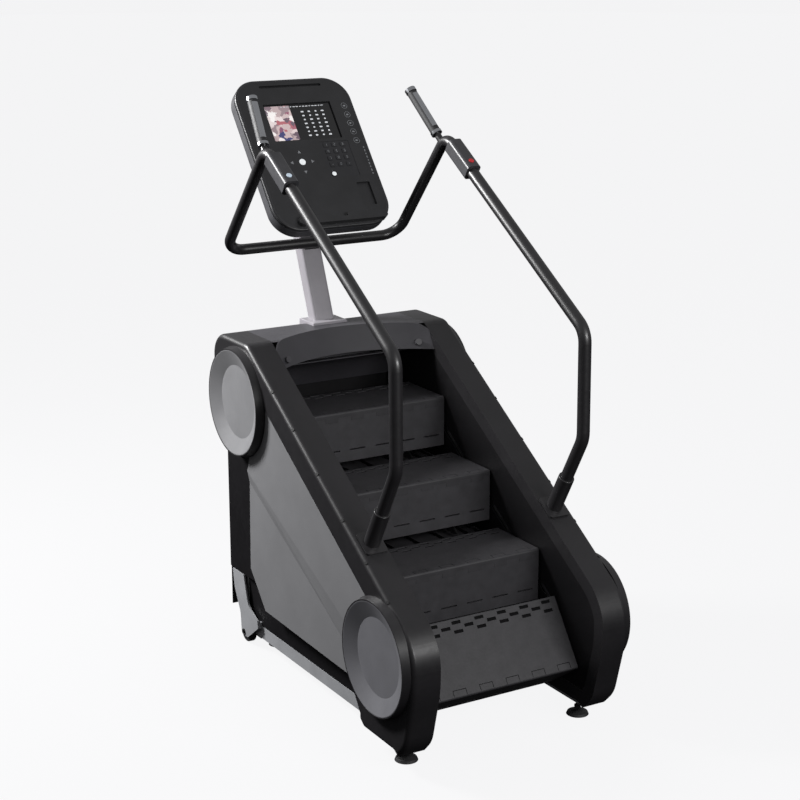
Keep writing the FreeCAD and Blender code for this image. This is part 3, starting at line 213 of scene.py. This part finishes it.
def add_prism(bm, outline, low, high):
    """A solid with a flat outline, from one height to another."""
    bottom = [bm.verts.new((x, y, low)) for x, y in outline]
    top = [bm.verts.new((x, y, high)) for x, y in outline]
    bm.faces.new(list(reversed(bottom)))
    bm.faces.new(top)
    count = len(outline)
    for i in range(count):
        j = (i + 1) % count
        bm.faces.new((bottom[i], bottom[j], top[j], top[i]))


def add_band(bm, outer, inner, low, high):
    """A closed band between two outlines with the same number of points."""
    rings = [[bm.verts.new((x, y, z)) for x, y in line]
             for line, z in ((outer, low), (outer, high), (inner, high), (inner, low))]
    count = len(outer)
    for k in range(4):
        a, b = rings[k], rings[(k + 1) % 4]
        for i in range(count):
            j = (i + 1) % count
            bm.faces.new((a[i], a[j], b[j], b[i]))


# ---- console ------------------------------------------------------------------------------------
CONSOLE_LEAN = math.radians(38.4)
CONSOLE_CENTRE = Vector((0, 1.1958 + SHIFT_Y, 1.7504))
CONSOLE_UP = Vector((0, math.sin(CONSOLE_LEAN), math.cos(CONSOLE_LEAN)))
CONSOLE_OUT = Vector((0, -math.cos(CONSOLE_LEAN), math.sin(CONSOLE_LEAN)))
ON_CONSOLE = Matrix((
    (1, 0, 0, CONSOLE_CENTRE.x),
    (0, CONSOLE_UP.y, CONSOLE_OUT.y, CONSOLE_CENTRE.y),
    (0, CONSOLE_UP.z, CONSOLE_OUT.z, CONSOLE_CENTRE.z),
    (0, 0, 0, 1),
))
MM = 0.001
SCREEN_TOP = -6 * MM         # the glass stands this far behind the console's face
MARK = 0.35 * MM             # how far a printed or lit mark stands up

# the strokes of a seven-segment figure: two ends in a box one wide and two high
STROKES = {"a": ((0, 2), (1, 2)), "b": ((1, 2), (1, 1)), "c": ((1, 1), (1, 0)),
           "d": ((0, 0), (1, 0)), "e": ((0, 0), (0, 1)), "f": ((0, 1), (0, 2)),
           "g": ((0, 1), (1, 1))}
FIGURES = {"1": "bc", "2": "abged", "3": "abgcd", "4": "fgbc", "5": "afgcd", "6": "afgedc",
           "7": "abc", "8": "abcdefg", "9": "abcdfg", "0": "abcdef", "-": "g"}
FIGURE_WEIGHT = 0.13         # a stroke's thickness over the figure's height

# Places on the console are metres right of and above its middle.  Outlines are across, up, width,
# height and corner radius.
PICTURE = (-0.076, 0.127, 0.098, 0.142, 0.003)
PICTURE_CELLS, PICTURE_WARP = 38.0, 22.0
PICTURE_WARP_SHARE = 0.12
PICTURE_GLOW = 0.45
MENU_COUNT, MENU_START, MENU_PITCH, MENU_UP = 14, -0.058, 0.0125, 0.1925
MENU_LONG, MENU_SHORT, MENU_TALL = 0.0095, 0.006, 0.0028
TABLE_COLUMNS, TABLE_ROWS = 4, 7
TABLE_X, TABLE_UP = 0.018, 0.170
TABLE_PITCH_X, TABLE_PITCH_UP = 0.027, 0.0165
TABLE_WIDE, TABLE_STEP, TABLE_TALL = 0.011, 0.002, 0.0055
RING_X = 0.190
RING_UPS = (0.181, 0.143, 0.107, 0.071, 0.034)
RING_OUTER, RING_INNER = (0.024, 0.024, 0.012, 8), (0.0215, 0.0215, 0.0107, 8)
RING_CORE = (0.009, 0.006, 0.002)
ARROW_X, ARROW_UP, ARROW_OUT = -0.053, -0.038, 0.041
ARROW_TIP, ARROW_FOOT, ARROW_HALF_WIDTH = 1.15, 0.88, 0.16   # shares of ARROW_OUT
LEVEL_COUNT, LEVEL_X, LEVEL_START, LEVEL_PITCH = 9, 0.208, -0.104, 0.0135
LEVEL_WIDE, LEVEL_TALL, LEVEL_SHORT = 0.004, 0.009, 0.006
PAD_FIGURES = "123456789-0-"
PAD_X, PAD_UP = 0.062, 0.024
PAD_PITCH_X, PAD_PITCH_UP = 0.033, 0.027
PAD_FIGURE_HEIGHT = 0.009
PAD_KEY_TOP = 0.8 * MM
STOP_KEY = (0.054, -0.095, 0.0165, 0.0165, 0.0082, 8)
STOP_KEY_LOW, STOP_KEY_HIGH = 1.2 * MM, 1.9 * MM
LIP_OUTER = (0, 0, 0.444, 0.597, 0.088, 16)
LIP_INNER = (0, 0, 0.440, 0.593, 0.086, 16)
LIP_HEIGHT = 0.5 * MM


def add_figure(bm, figure, cx, cy, height, base):
    """A small generic figure made of strokes."""
    unit = height / 2
    thick = height * FIGURE_WEIGHT
    for stroke in FIGURES[figure]:
        (x0, y0), (x1, y1) = STROKES[stroke]
        ax, ay = cx + (x0 - 0.5) * unit, cy + (y0 - 1) * unit
        bx, by = cx + (x1 - 0.5) * unit, cy + (y1 - 1) * unit
        width = abs(bx - ax) + thick
        tall = abs(by - ay) + thick
        outline = rounded_outline((ax + bx) / 2, (ay + by) / 2, width, tall, thick / 2, 2)
        add_prism(bm, outline, base, base + MARK)


def console_picture():
    """The lit picture on the left of the screen: soft abstract patches of colour."""
    bm = bmesh.new()
    add_prism(bm, rounded_outline(*PICTURE), SCREEN_TOP, SCREEN_TOP + MARK)
    material = bpy.data.materials.new("lit_picture")
    material.use_nodes = True
    tree = material.node_tree
    shader = tree.nodes["Principled BSDF"]
    shader.inputs["Roughness"].default_value = 0.2
    place = tree.nodes.new("ShaderNodeTexCoord")
    cells = tree.nodes.new("ShaderNodeTexVoronoi")
    cells.inputs["Scale"].default_value = PICTURE_CELLS
    warp = tree.nodes.new("ShaderNodeTexNoise")
    warp.inputs["Scale"].default_value = PICTURE_WARP
    warp.inputs["Detail"].default_value = 5.0
    mix = tree.nodes.new("ShaderNodeMix")
    mix.data_type = "RGBA"
    mix.inputs["Factor"].default_value = PICTURE_WARP_SHARE
    tree.links.new(place.outputs["Object"], mix.inputs["A"])
    tree.links.new(place.outputs["Object"], warp.inputs["Vector"])
    tree.links.new(warp.outputs["Color"], mix.inputs["B"])
    tree.links.new(mix.outputs["Result"], cells.inputs["Vector"])
    ramp = tree.nodes.new("ShaderNodeValToRGB")
    ramp.color_ramp.interpolation = "EASE"
    stops = (("17161B", 0.0), ("6B5A66", 0.2), ("C9B4B4", 0.36), ("F4F0EE", 0.55),
             ("B06A72", 0.7), ("3C4674", 0.82), ("ECE6E6", 1.0))
    ramp.color_ramp.elements[0].color = linear(stops[0][0])
    ramp.color_ramp.elements[1].color = linear(stops[-1][0])
    for code, position in stops[1:-1]:
        ramp.color_ramp.elements.new(position).color = linear(code)
    tree.links.new(cells.outputs["Color"], ramp.inputs["Fac"])
    tree.links.new(ramp.outputs["Color"], shader.inputs["Base Color"])
    tree.links.new(ramp.outputs["Color"], shader.inputs["Emission Color"])
    shader.inputs["Emission Strength"].default_value = PICTURE_GLOW
    finished_object("screen_picture", bm, material, "machine", place=ON_CONSOLE)


def console_marks():
    """Lit marks on the screen, printed ones on the keypad and the face, and the stop key's cap."""
    lit = bmesh.new()
    for i in range(MENU_COUNT):
        x = MENU_START + MENU_PITCH * i
        width = MENU_LONG if i % 3 else MENU_SHORT
        add_prism(lit, rounded_outline(x, MENU_UP, width, MENU_TALL, 0.001),
                  SCREEN_TOP, SCREEN_TOP + MARK)
    for column in range(TABLE_COLUMNS):
        for row in range(TABLE_ROWS):
            x = TABLE_X + TABLE_PITCH_X * column
            up = TABLE_UP - TABLE_PITCH_UP * row
            width = TABLE_WIDE - TABLE_STEP * ((row + column) % 3)
            add_prism(lit, rounded_outline(x, up, width, TABLE_TALL, 0.0015),
                      SCREEN_TOP, SCREEN_TOP + MARK)
    finished_object("screen_marks", lit, SCREEN_MARKS, "machine", place=ON_CONSOLE)

    printed = bmesh.new()
    for up in RING_UPS:
        outer = rounded_outline(RING_X, up, *RING_OUTER)
        inner = rounded_outline(RING_X, up, *RING_INNER)
        add_band(printed, outer, inner, 0, MARK)
        add_prism(printed, rounded_outline(RING_X, up, *RING_CORE), 0, MARK)
    for dx, dy in ((ARROW_OUT, 0), (-ARROW_OUT, 0), (0, ARROW_OUT), (0, -ARROW_OUT)):
        tip = (ARROW_X + dx * ARROW_TIP, ARROW_UP + dy * ARROW_TIP)
        across = (-dy * ARROW_HALF_WIDTH, dx * ARROW_HALF_WIDTH)
        foot = (ARROW_X + dx * ARROW_FOOT, ARROW_UP + dy * ARROW_FOOT)
        outline = [tip, (foot[0] + across[0], foot[1] + across[1]),
                   (foot[0] - across[0], foot[1] - across[1])]
        add_prism(printed, outline, 0, MARK)
    for i in range(LEVEL_COUNT):
        tall = LEVEL_TALL if i % 2 else LEVEL_SHORT
        up = LEVEL_START + LEVEL_PITCH * i
        add_prism(printed, rounded_outline(LEVEL_X, up, LEVEL_WIDE, tall, 0.001), 0, MARK)
    for row in range(4):
        for column in range(3):
            x = PAD_X + PAD_PITCH_X * column
            up = PAD_UP - PAD_PITCH_UP * row
            add_figure(printed, PAD_FIGURES[row * 3 + column], x, up, PAD_FIGURE_HEIGHT, PAD_KEY_TOP)
    finished_object("console_print", printed, PRINT, "machine", place=ON_CONSOLE)

    key = bmesh.new()
    add_prism(key, rounded_outline(*STOP_KEY), STOP_KEY_LOW, STOP_KEY_HIGH)
    # The stop key's cap has the keys' painted glow.
    finished_object("stop_key_cap", key, WHITE_PAINTED_GLOW, "machine", bevel=0.0003, place=ON_CONSOLE)


def console_trim():
    """A fine lip round the console's face."""
    lip = bmesh.new()
    outer = rounded_outline(*LIP_OUTER)
    inner = rounded_outline(*LIP_INNER)
    add_band(lip, outer, inner, 0, LIP_HEIGHT)
    finished_object("console_lip", lip, HOUSING, "machine", place=ON_CONSOLE)


console_picture()
console_marks()
console_trim()


# ---- steps --------------------------------------------------------------------------------------
CHAIN_R = 0.0254 / 2 / math.sin(math.pi / 20)
LOWER_SHAFT = Vector((0, 0.146 + SHIFT_Y, 0.273))
NOSE_FROM_AXLE = Vector((0, -0.1364, 0.0295))
# each step's run of the loop, and how far along the chain it is at rest
STEP_TRAVEL = {1: ("top", 0.989), 2: ("top", 0.6334), 3: ("top", 0.2778), 4: ("turn", 0.0778),
               5: ("return", 0.1784), 6: ("return", 0.534), 7: ("return", 0.8896)}
HOLE_ROWS = (0.206, 0.221, 0.236)    # back from the nose
HOLE_PITCH, HOLE_REACH = 0.087, 0.282
HOLE_FLOOR_SIZE = (0.0336, 0.0106, 0.001, 2)
HOLE_FLOOR_LOW, HOLE_FLOOR_HIGH = -3.1 * MM, -2.4 * MM
FINGER_PITCH = 0.1
GROOVE_SIDE_X, GROOVE_SIDE_BACK, GROOVE_SIDE_SIZE = 0.024, 0.0165, (0.0018, 0.017, 0.0002, 1)
GROOVE_END_BACK, GROOVE_END_SIZE = 0.026, (0.0498, 0.0018, 0.0002, 1)
GROOVE_LOW, GROOVE_HIGH = -1.3 * MM, -0.5 * MM


def step_place(run, travel):
    """From a step's own frame, with its origin at the nose, to its place at rest."""
    spin = {"top": 0.0, "turn": travel / CHAIN_R, "return": math.pi}[run]
    turn = Matrix.Rotation(spin, 4, "X")
    axle = LOWER_SHAFT + turn @ (Vector((0, -SIN, COS)) * CHAIN_R)
    if run != "turn":
        axle += Vector((0, COS, SIN)) * travel
    return Matrix.Translation(axle + turn @ NOSE_FROM_AXLE) @ turn


def step_recess_shade(number):
    """Painted shade: dark floors for the grip pockets and the grooves round the fingers of one
    tread, where shade falls in them.
    """
    bm = bmesh.new()
    for row, back in enumerate(HOLE_ROWS):
        for i in range(-4, 4):
            x = (i + (0.5 if row == 1 else 0)) * HOLE_PITCH
            if abs(x) < HOLE_REACH:
                add_prism(bm, rounded_outline(x, back, *HOLE_FLOOR_SIZE),
                          HOLE_FLOOR_LOW, HOLE_FLOOR_HIGH)
    for i in range(-2, 4):
        x = (i - 0.5) * FINGER_PITCH
        for side in (-1, 1):
            add_prism(bm, rounded_outline(x + side * GROOVE_SIDE_X, GROOVE_SIDE_BACK,
                                          *GROOVE_SIDE_SIZE), GROOVE_LOW, GROOVE_HIGH)
        add_prism(bm, rounded_outline(x, GROOVE_END_BACK, *GROOVE_END_SIZE),
                  GROOVE_LOW, GROOVE_HIGH)
    finished_object("step_%d_recesses" % number, bm, RECESS_SHADE, "step_%d" % number,
                    place=step_place(*STEP_TRAVEL[number]))


for number in STEP_TRAVEL:
    step_recess_shade(number)


# ---- inner sheets of painted shade --------------------------------------------------------------
BELLY_SHEET_LOW, BELLY_SHEET_HIGH = 46.5 * MM, 48.5 * MM
BELLY_SHEET_FRONT, BELLY_SHEET_BACK, BELLY_SHEET_STEM = 0.235, 1.196, 1.012    # BELLY_SHEET_STEM is just before the feet's stems
BELLY_SHEET_MIDDLE_WIDTH = 0.470
BELLY_SHEET_EDGE_X, BELLY_SHEET_EDGE_WIDTH = 0.284, 0.042
BELLY_SHEET_SHORT_X, BELLY_SHEET_SHORT_WIDTH = 0.249, 0.027
SIDE_SHEET_OUTLINE = ((0.205, 0.098), (1.098, 0.098), (1.098, 0.700), (0.935, 0.700), (0.935, 0.298),
                 (0.205, 0.298))
SIDE_SHEET_IN_X, SIDE_SHEET_OUT_X = 332.1 * MM, 333.3 * MM


def belly_shade_sheet():
    """Painted shade: a dark sheet under the return run, clear of the rear feet's stems, standing in
    for the shadow under the machine.
    """
    bm = bmesh.new()
    front, back = BELLY_SHEET_FRONT + SHIFT_Y, BELLY_SHEET_BACK + SHIFT_Y
    middle = (front + back) / 2
    short_middle, short_length = (front + BELLY_SHEET_STEM + SHIFT_Y) / 2, BELLY_SHEET_STEM + SHIFT_Y - front
    add_prism(bm, rounded_outline(0, middle, BELLY_SHEET_MIDDLE_WIDTH, back - front, 0.004, 2),
              BELLY_SHEET_LOW, BELLY_SHEET_HIGH)
    for side in (-1, 1):
        add_prism(bm, rounded_outline(side * BELLY_SHEET_EDGE_X, middle, BELLY_SHEET_EDGE_WIDTH, back - front,
                                      0.004, 2), BELLY_SHEET_LOW, BELLY_SHEET_HIGH)
        add_prism(bm, rounded_outline(side * BELLY_SHEET_SHORT_X, short_middle, BELLY_SHEET_SHORT_WIDTH,
                                      short_length, 0.004, 2), BELLY_SHEET_LOW, BELLY_SHEET_HIGH)
    finished_object("belly_shade_sheet", bm, INNER_WALL_AND_SHADE, "machine")


def side_shade_sheet(name, side):
    """Painted shade: a dark sheet over the windows of one of the frame's side plates, behind the
    side panel, standing in for the shade inside the frame.
    """
    bm = bmesh.new()
    upright = Matrix(((0, 0, side, 0), (1, 0, 0, SHIFT_Y), (0, 1, 0, 0), (0, 0, 0, 1)))
    add_prism(bm, SIDE_SHEET_OUTLINE, SIDE_SHEET_IN_X, SIDE_SHEET_OUT_X)
    finished_object(name, bm, INNER_WALL_AND_SHADE, "machine", place=upright)


belly_shade_sheet()
side_shade_sheet("left_side_shade_sheet", -1)
side_shade_sheet("right_side_shade_sheet", 1)


# ---- floor, light and camera --------------------------------------------------------------------
FLOOR_REACH, WALL_HEIGHT, FLOOR_SIDES = 45.0, 40.0, 48
FLOOR_DROP = 0.0005          # below the feet, so that nothing lies in the floor's own plane
FLOOR_GLOW = 0.97
SKY_STRENGTH = 0.38
SKY_DARK_TO, SKY_BRIGHT_FROM = 0.42, 0.62   # 0 is straight down and 1 straight up
# name, place, what it points at, size and watts
LIGHTS = (
    ("left_key", (-2.3, 2.3, 3.0), (-0.4, 0.3, 0.9), (0.9, 0.9), 320),
    ("front_soft", (0.7, -4.0, 2.4), (0.1, -0.6, 0.5), (2.0, 0.8), 100),
)


def pale_floor():
    """A pale floor that meets a pale wall all round, far away."""
    mesh = bpy.data.meshes.new("floor")
    turns = [math.tau * i / FLOOR_SIDES for i in range(FLOOR_SIDES)]
    ring = [(FLOOR_REACH * math.cos(turn), FLOOR_REACH * math.sin(turn)) for turn in turns]
    points = [(x, y, 0) for x, y in ring] + [(x, y, WALL_HEIGHT) for x, y in ring]
    faces = [tuple(range(FLOOR_SIDES))]
    for i in range(FLOOR_SIDES):
        j = (i + 1) % FLOOR_SIDES
        faces.append((i, i + FLOOR_SIDES, j + FLOOR_SIDES, j))
    mesh.from_pydata(points, [], faces)
    floor = bpy.data.objects.new("floor", mesh)
    bpy.context.scene.collection.objects.link(floor)
    floor.location.z = -FLOOR_DROP
    floor.visible_diffuse = False
    floor.visible_glossy = False
    floor.visible_shadow = False
    material = surface("floor_pale", linear("303030"), 0.9, grain=(20.0, 0.0), mottle=(0.5, 0.004),
                       specular=0.0)
    shader = material.node_tree.nodes["Principled BSDF"]
    shader.inputs["Emission Color"].default_value = linear("F6F6F7")
    shader.inputs["Emission Strength"].default_value = FLOOR_GLOW
    mesh.materials.append(material)


def area_light(name, place, target, size, power):
    """A rectangular light that points at a target."""
    data = bpy.data.lights.new(name, "AREA")
    data.shape = "RECTANGLE"
    data.size, data.size_y = size
    data.energy = power
    light = bpy.data.objects.new(name, data)
    bpy.context.scene.collection.objects.link(light)
    light.location = place
    aim = Vector(target) - Vector(place)
    light.rotation_mode = "QUATERNION"
    light.rotation_quaternion = aim.to_track_quat("-Z", "Y")


def soft_sky():
    """World light that is strong from above and weak from below."""
    world = bpy.data.worlds.new("studio")
    bpy.context.scene.world = world
    world.use_nodes = True
    tree = world.node_tree
    back = tree.nodes["Background"]
    back.inputs["Strength"].default_value = SKY_STRENGTH
    place = tree.nodes.new("ShaderNodeTexCoord")
    split = tree.nodes.new("ShaderNodeSeparateXYZ")
    height = tree.nodes.new("ShaderNodeMapRange")
    height.inputs["From Min"].default_value = -1.0
    ramp = tree.nodes.new("ShaderNodeValToRGB")
    ramp.color_ramp.elements[0].position = SKY_DARK_TO
    ramp.color_ramp.elements[0].color = linear("2A2A2C")
    ramp.color_ramp.elements[1].position = SKY_BRIGHT_FROM
    ramp.color_ramp.elements[1].color = linear("F8F8F9")
    tree.links.new(place.outputs["Generated"], split.inputs["Vector"])
    tree.links.new(split.outputs["Z"], height.inputs["Value"])
    tree.links.new(height.outputs["Result"], ramp.inputs["Fac"])
    tree.links.new(ramp.outputs["Color"], back.inputs["Color"])


def studio():
    """The sky, the lights and a plain view transform."""
    soft_sky()
    for light in LIGHTS:
        area_light(*light)
    bpy.context.scene.view_settings.view_transform = "Standard"
    bpy.context.scene.view_settings.look = "None"


CAMERA_PLACE = Vector((-2.9756, -4.4325 + SHIFT_Y, 2.5507))
CAMERA_AIM = Vector((0.49204, 0.83109, -0.25918))
CAMERA_LENS, SENSOR_WIDTH = 81.07, 36.0      # millimetres
CAMERA_ROLL = math.radians(-0.08)


def photo_camera():
    """The camera that was fitted to the photo's straight edges."""
    data = bpy.data.cameras.new("camera")
    data.lens = CAMERA_LENS
    data.sensor_width = SENSOR_WIDTH
    camera = bpy.data.objects.new("camera", data)
    bpy.context.scene.collection.objects.link(camera)
    camera.location = CAMERA_PLACE
    camera.rotation_mode = "QUATERNION"
    turn = CAMERA_AIM.to_track_quat("-Z", "Y").to_matrix().to_4x4()
    camera.rotation_quaternion = (turn @ Matrix.Rotation(CAMERA_ROLL, 4, "Z")).to_quaternion()
    bpy.context.scene.camera = camera


pale_floor()
studio()
photo_camera()
